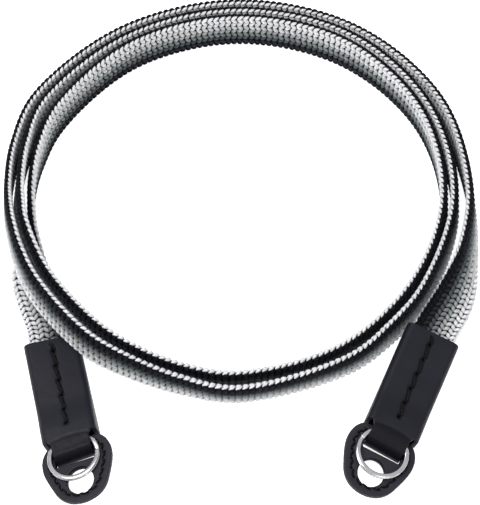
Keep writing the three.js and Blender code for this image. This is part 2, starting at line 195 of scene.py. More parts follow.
def on_end(end, local):
    """Places points drawn as (along, across, above) onto a sleeve's axis, in the coil's own frame. Past the
    sleeve's end the leather is bent up by the end's pitch."""
    inside = np.minimum(local[:, 0], 0)
    pitch = max(math.radians(end["pitch"]), 1e-6)
    radius = PAD_BEND / pitch
    spare, above = np.maximum(local[:, 0], 0), local[:, 2]
    turned = np.minimum(spare / radius, pitch)
    straight = np.maximum(spare - PAD_BEND, 0)
    forward = np.where(spare > 0, (radius - above) * np.sin(turned) + straight * np.cos(turned), inside)
    bent_up = radius - (radius - above) * np.cos(turned) + straight * np.sin(turned)
    lifted = np.where(spare > 0, bent_up, above)
    heading = math.radians(end["heading"])
    direction = np.array([math.cos(heading), math.sin(heading), 0.0])
    share = np.clip(-inside / SLEEVE_LENGTH, 0, 1)
    lean = end["end_roll"] + (end["mouth_roll"] - end["end_roll"]) * share - 90
    travel = np.tile(direction * end["travel"], (len(local), 1))
    edge, face = section_axes(travel, lean)
    height = resting_height(SLEEVE_HALF_WIDTH, SLEEVE_HALF_DEPTH, lean)
    placed = np.array([end["x"], end["y"], 0]) * COIL_RADIUS + direction * forward[:, None]
    placed[:, 2] += height + end["rise"] * BAND_WIDTH * share
    placed -= edge * (end["travel"] * local[:, 1:2])
    placed += face * lifted[:, None]
    return placed


RING_RADIUS = 7.1
RING_MIDDLE = 1.45


def on_ring(end, local):
    """Places points drawn round a stiff ring's own middle above the bent leather."""
    middle = on_end(end, np.array([[end["reach"] * RING_RADIUS, 0.0, RING_MIDDLE]]))[0]
    heading, pitch = math.radians(end["heading"]), math.radians(end["pitch"])
    direction = np.array([math.cos(heading), math.sin(heading), 0.0])
    edge, face = section_axes(direction * end["travel"], np.array(end["end_roll"] - 90.0))
    forward = direction * math.cos(pitch) + face * math.sin(pitch)
    normal = face * math.cos(pitch) - direction * math.sin(pitch)
    return middle + local[:, :1] * forward - local[:, 1:2] * edge * end["travel"] + local[:, 2:3] * normal


# the ring's place in the part gives the coil's own frame
ring_low, ring_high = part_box("left_split_ring")
ring_centre = on_ring(ENDS["left"], np.zeros((1, 3)))[0]
COIL_SHIFT = np.array((ring_low + ring_high) / 2) / MM - ring_centre


def build_piece(name, points, faces, material, slot, **attributes):
    """A smooth piece from points in the coil's own frame, in millimetres, with named values on its points."""
    mesh = bpy.data.meshes.new(name)
    mesh.vertices.add(len(points))
    mesh.vertices.foreach_set("co", ((points + COIL_SHIFT) * MM).astype(np.float32).ravel())
    corners = np.concatenate([np.asarray(f, np.int32).ravel() for f in faces])
    counts = np.concatenate([np.full(len(f), np.shape(f)[1]) for f in faces])
    mesh.loops.add(len(corners))
    mesh.loops.foreach_set("vertex_index", corners)
    mesh.polygons.add(len(counts))
    mesh.polygons.foreach_set("loop_start", np.concatenate([[0], np.cumsum(counts)[:-1]]).astype(np.int32))
    mesh.update(calc_edges=True)
    mesh.polygons.foreach_set("use_smooth", np.full(len(counts), True))
    for key, values in attributes.items():
        kind = "FLOAT" if values.ndim == 1 else "FLOAT_VECTOR"
        layer = mesh.attributes.new(key, kind, "POINT")
        layer.data.foreach_set("value" if kind == "FLOAT" else "vector", values.astype(np.float32).ravel())
    mesh.materials.append(material)
    piece = bpy.data.objects.new(name, mesh)
    bpy.context.scene.collection.objects.link(piece)
    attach(piece, "root")
    return piece


def new_material(name):
    """A new material, with its node tree and its Principled shader."""
    material = bpy.data.materials.new(name)
    material.use_nodes = True
    tree = material.node_tree
    shader = tree.nodes["Principled BSDF"]
    return material, tree, shader


def add_node(tree, kind, settings=None, **inputs):
    """Adds a node, sets its properties, and links or fills its inputs by name, or by place as _0, _1, _2."""
    node = tree.nodes.new(kind)
    for key, value in (settings or {}).items():
        setattr(node, key, value)
    for key, value in inputs.items():
        socket = node.inputs[int(key[1:])] if key[0] == "_" else node.inputs[key.replace("_", " ")]
        if isinstance(value, bpy.types.NodeSocket):
            tree.links.new(value, socket)
        else:
            socket.default_value = value
    return node


def set_ramp(node, stops):
    """Fills a colour ramp from (position, colour) stops."""
    ramp = node.color_ramp
    while len(ramp.elements) > 1:
        ramp.elements.remove(ramp.elements[-1])
    for i, (position, colour) in enumerate(stops):
        element = ramp.elements[0] if i == 0 else ramp.elements.new(position)
        element.position = position
        element.color = (*colour, 1)


# each stitch is a V of two legs in neighbouring columns, and it opens towards the right end
COLUMNS_PER_SIDE = 10
ROW_PITCH = 1.7
CORNER_OFFSET = -1.7
KNIT_SLIP = 0.5
LEG_ANGLE = 36
LEG_HALF_LENGTH = 1.15
LEG_HALF_WIDTH = 0.6
LEG_HALF_THICKNESS = 0.5
LEG_CROSSING = 0.07
LEG_DEPTH = 0.46
# a leg of the white corner column is longer and narrower by these factors, and steeper by these degrees
CORNER_LEG = (1.13, 0.95, 10)
# unevenness of a stitch: its lean in degrees, its size, its place along the band, and its lightness
STITCH_SPREAD = {"lean": 2.0, "size": 0.025, "place": 0.03, "lightness": 0.025}
CORE_DEPTH = 0.75
SLEEVE_OVERLAP = 2.5
# the ten columns of one face and one edge, from its white corner: how light the yarn is, and how proud
COLUMN_YARN = [
    (1.00, 0.26), (1.00, 0.0), (0.93, 0.0), (0.82, 0.0), (0.66, 0.0),
    (0.48, 0.0), (0.30, 0.0), (0.12, 0.0), (0.0, 0.0), (0.0, 0.0),
]
# the tube is rolled a little round its flat shape: inwards at the coil's far side, outwards at its near side
knit_slip = KNIT_SLIP * route[:, 1] / np.hypot(route[:, 0], route[:, 1])
flat = BAND_WIDTH - BAND_THICKNESS
edge_radius = BAND_THICKNESS / 2
side_length = flat + math.pi * edge_radius


def round_section(position, height):
    """The section at a distance round it from the inner top corner: place across, place outwards."""
    position = np.mod(position, 2 * side_length)
    flipped = position >= side_length
    p = np.where(flipped, position - side_length, position)
    turned = np.clip(p - flat, 0, None) / edge_radius
    x = np.where(p < flat, flat / 2 - p, -flat / 2 - (edge_radius + height) * np.sin(turned))
    n = np.where(p < flat, -edge_radius - height, -(edge_radius + height) * np.cos(turned))
    return np.where(flipped, -x, x), np.where(flipped, -n, n)


def on_band(along, position, height):
    """Points of the band in the coil's frame, from length along it, distance round it and height above it."""
    x, n = round_section(position + np.interp(along, route_length, knit_slip), height)

    def at(values):
        return np.stack([np.interp(along, route_length, values[:, i]) for i in range(3)], -1)

    return at(route) + at(route_edge) * x[..., None] + at(route_face) * n[..., None]


def yarn_lay():
    """Twisted filaments of one yarn leg: a shade and a normal from where a point is on the leg."""
    group = bpy.data.node_groups.new("yarn lay", "ShaderNodeTree")
    for name, value in (("Filaments", 9.0), ("Twist", 5.0), ("Depth", 0.5)):
        group.interface.new_socket(name, in_out="INPUT", socket_type="NodeSocketFloat").default_value = value
    group.interface.new_socket("Shade", in_out="OUTPUT", socket_type="NodeSocketFloat")
    group.interface.new_socket("Normal", in_out="OUTPUT", socket_type="NodeSocketVector")
    given = group.nodes.new("NodeGroupInput")
    made = group.nodes.new("NodeGroupOutput")
    place = add_node(group, "ShaderNodeAttribute", {"attribute_name": "leg"})
    parts = add_node(group, "ShaderNodeSeparateXYZ", _0=place.outputs["Vector"])
    round_leg = add_node(group, "ShaderNodeMath", {"operation": "MULTIPLY"},
                         _0=parts.outputs["Y"], _1=given.outputs["Filaments"])
    twisted = add_node(group, "ShaderNodeMath", {"operation": "MULTIPLY_ADD"},
                       _0=parts.outputs["X"], _1=given.outputs["Twist"], _2=round_leg.outputs[0])
    noise = add_node(group, "ShaderNodeTexNoise", Scale=2600.0, Detail=2.0,
                     Vector=add_node(group, "ShaderNodeTexCoord").outputs["Object"])
    wobble = add_node(group, "ShaderNodeMath", {"operation": "ADD"},
                      _0=twisted.outputs[0], _1=noise.outputs["Fac"])
    turn = add_node(group, "ShaderNodeMath", {"operation": "MULTIPLY"}, _0=wobble.outputs[0], _1=2 * math.pi)
    wave = add_node(group, "ShaderNodeMath", {"operation": "SINE"}, _0=turn.outputs[0])
    bump = add_node(group, "ShaderNodeBump", Strength=given.outputs["Depth"], Distance=0.00006,
                    Height=wave.outputs[0])
    shade = add_node(group, "ShaderNodeMapRange", Value=wave.outputs[0], From_Min=-1.0, From_Max=1.0,
                     To_Min=0.78, To_Max=1.0)
    group.links.new(shade.outputs[0], made.inputs["Shade"])
    group.links.new(bump.outputs[0], made.inputs["Normal"])
    return group


yarn, tree, shader = new_material("knitting yarn")
lay = add_node(tree, "ShaderNodeGroup", {"node_tree": yarn_lay()}, Filaments=7.0, Twist=4.0, Depth=0.55)
tone = add_node(tree, "ShaderNodeAttribute", {"attribute_name": "tone"})
dye = add_node(tree, "ShaderNodeValToRGB", _0=tone.outputs["Fac"])
set_ramp(dye, [
    (0.0, (0.0045, 0.0047, 0.0075)), (0.15, (0.018, 0.021, 0.026)), (0.35, (0.085, 0.098, 0.104)),
    (0.6, (0.27, 0.288, 0.29)), (0.8, (0.50, 0.515, 0.515)), (1.0, (0.80, 0.80, 0.82)),
])
lint = add_node(tree, "ShaderNodeTexNoise", Scale=700.0, Detail=3.0,
                Vector=add_node(tree, "ShaderNodeTexCoord").outputs["Object"])
mottle = add_node(tree, "ShaderNodeMapRange", Value=lint.outputs["Fac"], From_Min=0.3, From_Max=0.7,
                  To_Min=0.88, To_Max=1.06)
shaded = add_node(tree, "ShaderNodeMath", {"operation": "MULTIPLY"},
                  _0=lay.outputs["Shade"], _1=mottle.outputs[0])
coloured = add_node(tree, "ShaderNodeVectorMath", {"operation": "SCALE"}, _0=dye.outputs["Color"])
tree.links.new(shaded.outputs[0], coloured.inputs["Scale"])
tree.links.new(coloured.outputs[0], shader.inputs["Base Color"])
tree.links.new(lay.outputs["Normal"], shader.inputs["Normal"])
shader.inputs["Roughness"].default_value = 0.8
shader.inputs["Specular IOR Level"].default_value = 0.12

# the core's near black colour is painted shade for the gaps between the stitches
core_material, tree, shader = new_material("knit core painted shade")
depths = add_node(tree, "ShaderNodeTexNoise", Scale=1500.0, Detail=4.0,
                  Vector=add_node(tree, "ShaderNodeTexCoord").outputs["Object"])
shadowed = add_node(tree, "ShaderNodeValToRGB", _0=depths.outputs["Fac"])
set_ramp(shadowed, [(0.3, (0.003, 0.003, 0.004)), (0.7, (0.012, 0.012, 0.015))])
tree.links.new(shadowed.outputs["Color"], shader.inputs["Base Color"])
fuzz = add_node(tree, "ShaderNodeBump", Strength=0.6, Distance=0.0002, Height=depths.outputs["Fac"])
tree.links.new(fuzz.outputs[0], shader.inputs["Normal"])
shader.inputs["Roughness"].default_value = 0.95
shader.inputs["Specular IOR Level"].default_value = 0.1

# the core is the inside of the tube, seen between the stitches, painted near black as the shade in those gaps
CORE_STEP = 2
CORE_END = 0.5
core_steps = int(BAND_LENGTH / CORE_STEP)
core_round = 28
along, position = np.meshgrid(np.linspace(CORE_END, BAND_LENGTH - CORE_END, core_steps),
                              np.arange(core_round) * 2 * side_length / core_round, indexing="ij")
core_points = on_band(along, position, -CORE_DEPTH + 0 * along).reshape(-1, 3)
i, j = np.meshgrid(np.arange(core_steps - 1), np.arange(core_round), indexing="ij")
next_j = (j + 1) % core_round
core_faces = np.stack([i * core_round + j, i * core_round + next_j,
                       (i + 1) * core_round + next_j, (i + 1) * core_round + j], -1).reshape(-1, 4)
caps = [np.arange(core_round)[::-1][None], (np.arange(core_round) + (core_steps - 1) * core_round)[None]]
core = build_piece("knit_core", core_points, [core_faces, *caps], core_material, "knit")
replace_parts(core, "strap_band")

# one leg: rings round its length, with how far along, how thick, and how deep each sits
LEG_RINGS = [(-0.82, 0.36, -0.38), (-0.40, 0.90, -0.06), (0.16, 1.03, 0.0), (0.72, 0.56, -0.22)]
LEG_SIDES = 6
ring_angle = np.arange(LEG_SIDES) * 2 * math.pi / LEG_SIDES
leg_points = [(-1.0, 0.0, -0.62)]
leg_coords = [(0.0, 0.0, 0.0)]
for where, girth, drop in LEG_RINGS:
    for angle in ring_angle:
        leg_points.append((where, girth * math.cos(angle), drop + girth * math.sin(angle)))
        leg_coords.append(((where + 1) / 2, angle / (2 * math.pi), 0.0))
leg_points.append((1.0, 0.0, -0.40))
leg_coords.append((1.0, 0.0, 0.0))
leg_points = np.array(leg_points)
leg_coords = np.array(leg_coords)
leg_quads, leg_tris = [], []
for ring in range(len(LEG_RINGS) - 1):
    for side in range(LEG_SIDES):
        a = 1 + ring * LEG_SIDES + side
        b = 1 + ring * LEG_SIDES + (side + 1) % LEG_SIDES
        leg_quads.append((a, b, b + LEG_SIDES, a + LEG_SIDES))
last = len(leg_points) - 1
for side in range(LEG_SIDES):
    leg_tris.append((0, 1 + (side + 1) % LEG_SIDES, 1 + side))
    leg_tris.append((last, last - LEG_SIDES + side, last - LEG_SIDES + (side + 1) % LEG_SIDES))
leg_quads, leg_tris = np.array(leg_quads), np.array(leg_tris)
column_width = side_length / COLUMNS_PER_SIDE
mouth = SLEEVE_LENGTH - SLEEVE_TUCK - SLEEVE_OVERLAP
rows = int(round((BAND_LENGTH - 2 * mouth) / ROW_PITCH))
row_along = np.linspace(mouth, BAND_LENGTH - mouth, rows)
rng = np.random.default_rng(7)


def knit_columns(name, columns):
    """The legs of some neighbouring columns, along the whole visible band."""
    column, row = (m.ravel() for m in np.meshgrid(columns, np.arange(rows), indexing="ij"))
    lightness, proud = np.array(COLUMN_YARN)[column % COLUMNS_PER_SIDE].T
    lean = np.where(column % 2 == 0, -1, 1)
    longer, narrower, steeper = CORNER_LEG
    corner = column % COLUMNS_PER_SIDE == 0
    angle = np.radians(LEG_ANGLE + steeper * corner + rng.normal(0, STITCH_SPREAD["lean"], len(row))) * lean
    size = 1 + rng.normal(0, STITCH_SPREAD["size"], len(row))
    a = leg_points[None, :, 0] * LEG_HALF_LENGTH * (size * np.where(corner, longer, 1))[:, None]
    b = leg_points[None, :, 1] * LEG_HALF_WIDTH * (size * np.where(corner, narrower, 1))[:, None]
    c = leg_points[None, :, 2] * LEG_HALF_THICKNESS
    place = row_along[row] + rng.normal(0, STITCH_SPREAD["place"], len(row))
    along = place[:, None] + a * np.cos(angle)[:, None] - b * np.sin(angle)[:, None]
    middle = CORNER_OFFSET + (column + 0.5) * column_width
    position = middle[:, None] + a * np.sin(angle)[:, None] + b * np.cos(angle)[:, None]
    height = (proud + LEG_CROSSING * lean)[:, None] - LEG_DEPTH + c
    points = on_band(along, position, height).reshape(-1, 3)
    start = (np.arange(len(row)) * len(leg_points))[:, None, None]
    faces = [(start + leg_quads[None]).reshape(-1, 4), (start + leg_tris[None]).reshape(-1, 3)]
    shade = np.clip(lightness + rng.normal(0, STITCH_SPREAD["lightness"], len(row)), 0, 1)
    return build_piece(name, points, faces, yarn, "knit",
                       tone=np.repeat(shade, len(leg_points)), leg=np.tile(leg_coords, (len(row), 1)))


KNIT_PIECES = {
    "knit_inner_face_upper": range(0, 4),
    "knit_inner_face_lower": range(4, 8),
    "knit_lower_edge": range(8, 12),
    "knit_outer_face": range(12, 16),
    "knit_upper_edge": range(16, 20),
}
for name, columns in KNIT_PIECES.items():
    knit_columns(name, np.array(columns))


# The leather sleeves: one strip of smooth black leather folded round each end of the band and saddle stitched
# down its middle. Its upper layer narrows to a tongue, bends over the split ring, and goes down through the
# guard pad's slit.
SLEEVE_SWELL = 9.0
SLEEVE_RISE = 1.0
SLEEVE_CORNER = 1.1
SLEEVE_FINE_FROM = -6
TONGUE_HALF_WIDTH = 5.2
TONGUE_REACH = 5.0
TONGUE_SKEW = 0.22
SHOULDER = 1.4
# the fold over the ring: how far its crest bows back, how far the leather drops past it, and how much shade
# is painted past it
FOLD_CREST = -0.7
FOLD_LENGTH = 0.9
FOLD_STEP = 0.14
FOLD_SHADE = 0.42
SLEEVE_STITCHES = 5
FIRST_STITCH = -26.9
LAST_STITCH = -3.9
# the seam sinks into a shallow groove, and is pulled deeper at each stitch hole
SEAM_HALF_WIDTH = 0.75
SEAM_GROOVE = 0.12
SEAM_PULL = 0.45
SEAM_PULL_REACH = 0.6
# how far the shade painted into each seam stitch hole reaches along the sleeve
SEAM_HOLE_SHADE_REACH = 0.9
LEATHER_RIM = 0.3
LEATHER_GLOSS = 0.2


def leather_grain():
    """Fine pebbled grain with faint creases: a shade and a normal."""
    group = bpy.data.node_groups.new("leather grain", "ShaderNodeTree")
    for name, value in (("Grain Scale", 2600.0), ("Depth", 0.2), ("Cloudiness", 0.25)):
        group.interface.new_socket(name, in_out="INPUT", socket_type="NodeSocketFloat").default_value = value
    group.interface.new_socket("Shade", in_out="OUTPUT", socket_type="NodeSocketFloat")
    group.interface.new_socket("Pore", in_out="OUTPUT", socket_type="NodeSocketFloat")
    group.interface.new_socket("Normal", in_out="OUTPUT", socket_type="NodeSocketVector")
    given = group.nodes.new("NodeGroupInput")
    made = group.nodes.new("NodeGroupOutput")
    place = add_node(group, "ShaderNodeTexCoord").outputs["Object"]
    pebbles = add_node(group, "ShaderNodeTexVoronoi", {"feature": "SMOOTH_F1"}, Vector=place,
                       Scale=given.outputs["Grain Scale"])
    clouds = add_node(group, "ShaderNodeTexNoise", Vector=place, Scale=140.0, Detail=3.0)
    fine = add_node(group, "ShaderNodeTexNoise", Vector=place, Scale=900.0, Detail=6.0, Roughness=0.6)
    height = add_node(group, "ShaderNodeMath", {"operation": "MULTIPLY_ADD"},
                      _0=fine.outputs["Fac"], _1=0.9, _2=pebbles.outputs["Distance"])
    bump = add_node(group, "ShaderNodeBump", Strength=given.outputs["Depth"], Distance=0.00012,
                    Height=height.outputs[0])
    spread = add_node(group, "ShaderNodeMapRange", Value=clouds.outputs["Fac"], From_Min=0.3, From_Max=0.7,
                      To_Min=-1.0, To_Max=1.0)
    shade = add_node(group, "ShaderNodeMath", {"operation": "MULTIPLY_ADD"},
                     _0=spread.outputs[0], _1=given.outputs["Cloudiness"], _2=1.0)
    group.links.new(shade.outputs[0], made.inputs["Shade"])
    group.links.new(fine.outputs["Fac"], made.inputs["Pore"])
    group.links.new(bump.outputs[0], made.inputs["Normal"])
    return group


grain = leather_grain()


def leather(name, colour, roughness, depth):
    """Black finished leather, darker and without shine where the painted shade value is high: shade painted
    into hollows and folds.
    """
    material, tree, shader = new_material(name)
    skin = add_node(tree, "ShaderNodeGroup", {"node_tree": grain},
                    Grain_Scale=2400.0, Depth=depth, Cloudiness=0.18)
    # the painted shade value darkens the base colour, standing in for shade in stitch holes, cut walls and
    # folds
    pit = add_node(tree, "ShaderNodeAttribute", {"attribute_name": "pit"})
    unshaded_share = add_node(tree, "ShaderNodeMath", {"operation": "SUBTRACT", "use_clamp": True},
                         _0=1.0, _1=pit.outputs["Fac"])
    dimmed = add_node(tree, "ShaderNodeMath", {"operation": "MULTIPLY"},
                      _0=skin.outputs["Shade"], _1=unshaded_share.outputs[0])
    tinted = add_node(tree, "ShaderNodeVectorMath", {"operation": "SCALE"}, _0=colour)
    tree.links.new(dimmed.outputs[0], tinted.inputs["Scale"])
    shader.inputs["Specular IOR Level"].default_value = LEATHER_GLOSS
    # the painted shade also turns the dark surface metallic, which takes away its shine there
    shade_dulling = add_node(tree, "ShaderNodeMath", {"operation": "SUBTRACT"}, _0=1.0, _1=unshaded_share.outputs[0])
    tree.links.new(shade_dulling.outputs[0], shader.inputs["Metallic"])
    tree.links.new(tinted.outputs[0], shader.inputs["Base Color"])
    rough = add_node(tree, "ShaderNodeMapRange", Value=skin.outputs["Pore"], From_Min=0.3, From_Max=0.7,
                     To_Min=roughness - 0.06, To_Max=roughness + 0.08)
    tree.links.new(rough.outputs[0], shader.inputs["Roughness"])
    tree.links.new(skin.outputs["Normal"], shader.inputs["Normal"])
    return material


sleeve_leather = leather("sleeve leather", (0.0074, 0.0075, 0.0130), 0.5, 0.25)


def smoothstep(value, low, high):
    """Eases from 0 at the low value to 1 at the high one."""
    t = np.clip((value - low) / (high - low), 0, 1)
    return t * t * (3 - 2 * t)


def sleeve_opening(end, along):
    """How far the sleeve's top has risen at places along it, to make room for the ring end's fold."""
    fully_open = (end["reach"] - 1) * RING_RADIUS - LEATHER
    return smoothstep(along, fully_open - SLEEVE_SWELL, fully_open) * SLEEVE_RISE


def past_fold(grid):
    """How far a point is past the curved crest where the leather is pulled down over the ring."""
    crest = FOLD_CREST * (1 - (grid[..., 1] / TONGUE_HALF_WIDTH) ** 2)
    return smoothstep(grid[..., 0] - crest, 0, FOLD_LENGTH)


def sleeve_middle_surface(end):
    """The middle of the folded leather as a grid: the flat tube, and the tongue that continues its top."""
    half_width = SLEEVE_HALF_WIDTH - LEATHER / 2
    half_depth = SLEEVE_HALF_DEPTH - LEATHER / 2
    flat_half = half_width - SLEEVE_CORNER
    top_count, under_count, corner_count = 40, 24, 6
    loop = [(x, half_depth) for x in np.linspace(-flat_half, flat_half, top_count + 1)]
    for centre_x, centre_z, start in ((1, 1, 90), (1, -1, 0), (-1, -1, -90), (-1, 1, -180)):
        for k in range(1, corner_count + 1):
            angle = math.radians(start - 90 * k / corner_count)
            loop.append((centre_x * flat_half + SLEEVE_CORNER * math.cos(angle),
                         centre_z * (half_depth - SLEEVE_CORNER) + SLEEVE_CORNER * math.sin(angle)))
        if centre_x == 1 and centre_z == -1:
            loop += [(x, -half_depth) for x in np.linspace(flat_half, -flat_half, under_count + 1)[1:]]
    loop = np.array(loop[:-1])
    count = len(loop)
    stations = np.concatenate([np.arange(-SLEEVE_LENGTH, SLEEVE_FINE_FROM, 0.4),
                               np.linspace(SLEEVE_FINE_FROM, 0, 25)])
    rise = sleeve_opening(end, stations)
    tube = np.empty((len(stations), count, 3))
    tube[:, :, 0] = stations[:, None]
    tube[:, :, 1] = loop[:, 0]
    tube[:, :, 2] = loop[:, 1] + np.where(loop[:, 1] > 0, 1, 0) * rise[:, None]
    top = half_depth + SLEEVE_RISE
    path = centripetal(np.array([
        [0, top, 0], [TONGUE_REACH * 0.3, top * 0.98, 0], [TONGUE_REACH * 0.62, top * 0.82, 0],
        [TONGUE_REACH * 0.9, top * 0.52, 0], [TONGUE_REACH * 1.07, 0, 0],
        [TONGUE_REACH * 1.06, -half_depth * 0.6, 0], [TONGUE_REACH * 0.84, -half_depth, 0],
        [TONGUE_REACH * 0.35, -half_depth, 0], [0.7, -half_depth, 0],
    ], float), 6)[0][1:]
    narrowing = np.where(path[:, 1] > 0, smoothstep(path[:, 0], 0, SHOULDER), 1)
    width = flat_half + (TONGUE_HALF_WIDTH - flat_half) * narrowing
    tongue = np.empty((len(path), top_count + 1, 3))
    tongue[:, :, 0] = path[:, :1]
    tongue[:, :, 1] = np.linspace(-1, 1, top_count + 1) * width[:, None]
    tongue[:, :, 2] = path[:, 1:2]
    for grid in (tube, tongue):
        pulled = (grid[:, :, 2] > half_depth - 0.01) & (np.abs(grid[:, :, 1]) < TONGUE_HALF_WIDTH + 0.3)
        grid[:, :, 2] -= pulled * past_fold(grid) * FOLD_STEP
    skew = TONGUE_SKEW * end["travel"] * np.linspace(-1, 1, top_count + 1)
    tongue[:, :, 0] += skew * smoothstep(path[:, :1], 1, 4)
    return tube, tongue, top_count


stitch_ends = np.linspace(FIRST_STITCH, LAST_STITCH, SLEEVE_STITCHES + 1)


def make_sleeve(side):
    """One sleeve, thickened from its middle surface, with rounded cut edges and the seam pulled in."""
    end = ENDS[side]
    tube, tongue, top_count = sleeve_middle_surface(end)
    seam = np.abs(tube[:, :, 1])
    on_top = (tube[:, :, 2] > 0) & (seam < 4)
    pull = sum(np.exp(-((tube[:, :, 0] - at) / SEAM_PULL_REACH) ** 2) for at in stitch_ends)
    groove = (tube[:, :, 0] > FIRST_STITCH - 1) & (tube[:, :, 0] < LAST_STITCH + 1)
    near_seam = np.exp(-(seam / SEAM_HALF_WIDTH) ** 2)
    tube[:, :, 2] -= on_top * near_seam * (SEAM_PULL * pull + SEAM_GROOVE * groove)
    # painted shade: each seam stitch hole is painted dark, as the shade inside the hole
    pit = np.zeros(tube.shape[:2])
    for at in stitch_ends:
        from_hole = (tube[:, :, 0] - at) / SEAM_HOLE_SHADE_REACH
        pit += on_top * np.exp(-from_hole ** 4 - (seam / SEAM_HALF_WIDTH) ** 4)
    # painted shade: the leather past the fold is painted darker and duller, as the shade where it turns away
    # from the light
    pit += FOLD_SHADE * past_fold(tube) * (tube[:, :, 2] > 0) * (seam < TONGUE_HALF_WIDTH + 0.3)
    tongue_pit = FOLD_SHADE * past_fold(tongue)
    rows_in, count = tube.shape[:2]
    points = np.vstack([tube.reshape(-1, 3), tongue.reshape(-1, 3)])
    i, j = np.meshgrid(np.arange(rows_in - 1), np.arange(count), indexing="ij")
    next_j = (j + 1) % count
    ring_a, ring_b = i * count, (i + 1) * count
    tube_faces = np.stack([ring_a + j, ring_b + j, ring_b + next_j, ring_a + next_j], -1)
    first = (rows_in - 1) * count + np.arange(top_count + 1)
    later = rows_in * count + np.arange(tongue.shape[0] * (top_count + 1)).reshape(tongue.shape[0], -1)
    strip = np.vstack([first, later])
    tongue_faces = np.stack([strip[:-1, :-1], strip[1:, :-1], strip[1:, 1:], strip[:-1, 1:]], -1)
    faces = np.vstack([tube_faces.reshape(-1, 4), tongue_faces.reshape(-1, 4)])
    pit = np.concatenate([pit.ravel(), tongue_pit.ravel()])
    sleeve = build_piece(f"{side}_sleeve", on_end(end, points), [faces], sleeve_leather, "sleeve_leather",
                         pit=pit)
    wall = sleeve.modifiers.new("wall", "SOLIDIFY")
    wall.thickness = LEATHER * MM
    wall.offset = 0
    wall.use_even_offset = True
    rim = sleeve.modifiers.new("rim", "BEVEL")
    rim.limit_method = "ANGLE"
    rim.angle_limit = math.radians(50)
    rim.width = LEATHER_RIM * MM
    rim.segments = 3
    return sleeve


def settle(piece):
    """Turns a piece's modifiers into its mesh."""
    bpy.context.view_layer.update()
    mesh = bpy.data.meshes.new_from_object(piece.evaluated_get(bpy.context.evaluated_depsgraph_get()))
    piece.modifiers.clear()
    piece.data = mesh
    mesh.polygons.foreach_set("use_smooth", np.full(len(mesh.polygons), True))
    mesh.update()
    return piece


thread, tree, shader = new_material("waxed thread")
lay = add_node(tree, "ShaderNodeGroup", {"node_tree": bpy.data.node_groups["yarn lay"]},
               Filaments=3.0, Twist=9.0, Depth=0.8)
tinted = add_node(tree, "ShaderNodeVectorMath", {"operation": "SCALE"}, _0=(0.0035, 0.0035, 0.0045))
tree.links.new(lay.outputs["Shade"], tinted.inputs["Scale"])
tree.links.new(tinted.outputs[0], shader.inputs["Base Color"])
tree.links.new(lay.outputs["Normal"], shader.inputs["Normal"])
shader.inputs["Roughness"].default_value = 0.5
shader.inputs["Specular IOR Level"].default_value = 0.12


def thread_piece(name, paths, radius, place, slot):
    """Short bent threads, each a tapered tube along its own path of local points."""
    sides = 8
    thin_end = 0.72
    points, faces, tris, coords = [], [], [], []
    start = 0
    for path in paths:
        path = np.asarray(path, float)
        tangent = np.gradient(path, axis=0)
        tangent /= np.linalg.norm(tangent, axis=1)[:, None]
        across = np.cross(tangent, [0.0, 0.0, 1.0])
        across /= np.linalg.norm(across, axis=1)[:, None]
        above = np.cross(across, tangent)
        share = np.linspace(0, 1, len(path))
        girth = radius * (thin_end + (1 - thin_end) * np.sin(math.pi * share))
        for k in range(len(path)):
            for s in range(sides):
                angle = 2 * math.pi * s / sides
                outward = across[k] * math.cos(angle) + above[k] * math.sin(angle)
                points.append(path[k] + girth[k] * outward)
                coords.append((share[k], s / sides, 0))
        for k in range(len(path) - 1):
            for s in range(sides):
                a = start + k * sides + s
                b = start + k * sides + (s + 1) % sides
                faces.append((a, a + sides, b + sides, b))
        far = start + (len(path) - 1) * sides
        tris += [(start, start + s, start + s + 1) for s in range(1, sides - 1)]
        tris += [(far, far + s + 1, far + s) for s in range(1, sides - 1)]
        start += len(path) * sides
    return build_piece(name, place(np.array(points)), [np.array(faces), np.array(tris)], thread, slot,
                       leg=np.array(coords))


# each seam thread's radius, sideways slant, sideways wave, arch, and how deep its ends sink
SEAM_THREAD = 0.52
SEAM_SLANT = 1.4
SEAM_WAVE = 0.18
SEAM_ARCH = 0.72
SEAM_SINK = 0.5


def seam_threads(side):
    """Saddle stitches down the sleeve's middle: fat slanting threads that dive into a hole at each end."""
    paths = []
    surface = SLEEVE_HALF_DEPTH
    for low, high in zip(np.concatenate([[1 - SLEEVE_LENGTH], stitch_ends[:-1]]), stitch_ends):
        t = np.linspace(0, 1, 13)
        along = low + 0.3 + (high - low - 0.6) * t
        lift = np.sin(math.pi * t) ** 0.5 * SEAM_ARCH - SEAM_SINK
        across = (t - 0.5) * SEAM_SLANT + SEAM_WAVE * np.sin(2 * math.pi * t)
        paths.append(np.stack([along, across, surface + sleeve_opening(ENDS[side], along) + lift], -1))
    return thread_piece(f"{side}_seam_thread", paths, SEAM_THREAD, lambda p: on_end(ENDS[side], p),
                        "sleeve_leather")


for side in ENDS:
    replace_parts(settle(make_sleeve(side)), f"{side}_leather_sleeve")
    seam_threads(side)


# The guard pads: two layers of thick leather glued and stitched near the edge, with an oval hole at the round
# end and a slit near the sleeve for the tongue. Each lies under its split ring and keeps it off the camera.
PAD_THICKNESS = 1.6
PAD_LENGTH = 18.9
PAD_HALF_WIDTH = 9.5
PAD_SHIFT = 0.4
PAD_UNDERSIDE = -SLEEVE_HALF_DEPTH + LEATHER + FIT
SLIT_WIDTH = 3.2
SLIT_HALF_LENGTH = 5.0 + FIT
HOLE_LENGTH = 7.8
HOLE_WIDTH = 7.1
HOLE_END_MARGIN = 2.5
PAD_STITCH_MARGIN = 2.0
PAD_STITCH_PITCH = 2.5
PAD_THREAD = 0.3
PAD_ARCH = 0.42
PAD_SINK = 0.38
PAD_RIM = 0.25
PAD_GRID = 0.26
